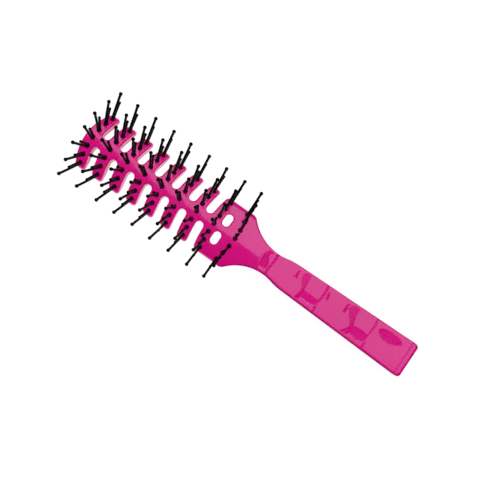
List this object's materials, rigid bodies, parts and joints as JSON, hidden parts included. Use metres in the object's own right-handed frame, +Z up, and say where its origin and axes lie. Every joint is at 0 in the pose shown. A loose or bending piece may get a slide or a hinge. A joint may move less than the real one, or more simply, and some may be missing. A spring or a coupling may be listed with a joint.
{
  "type": "vent hair brush",
  "caption": "Long vent hair brush: an arched, slotted pink plastic head on a flat finger-dented handle, with rows of long and short black ball-tipped pins.",
  "frame": {"origin": "centre of the bounding box at its base, on the surface that the brush lies on with its pins up", "axes": "+X along the brush towards the free end of the handle, +Y across the brush, +Z up towards the pins"},
  "size_m": [0.221, 0.0565, 0.0307],
  "materials": {
    "pink_plastic": "gloss, hot pink, slightly translucent moulded plastic",
    "black_carrier": "satin black nylon",
    "black_pins": "gloss black nylon"
  },
  "bodies": {
    "root": {"brush_body": "pink_plastic", "bristle_strip_1": "black_carrier", "bristle_strip_2": "black_carrier", "bristle_strip_3": "black_carrier", "bristle_strip_4": "black_carrier", "bristle_strip_5": "black_carrier", "bristle_strip_6": "black_carrier", "bristle_strip_7": "black_carrier", "bristle_strip_8": "black_carrier", "bristle_strip_9": "black_carrier", "tall_pins_1": "black_pins", "tall_pins_2": "black_pins", "tall_pins_3": "black_pins", "tall_pins_4": "black_pins", "tall_pins_5": "black_pins", "tall_pins_6": "black_pins", "tall_pins_7": "black_pins", "tall_pins_8": "black_pins", "tall_pins_9": "black_pins", "short_pins_1": "black_pins", "short_pins_2": "black_pins", "short_pins_3": "black_pins", "short_pins_4": "black_pins", "short_pins_5": "black_pins", "short_pins_6": "black_pins", "short_pins_7": "black_pins", "short_pins_8": "black_pins", "short_pins_9": "black_pins"}
  },
  "joints": []
}
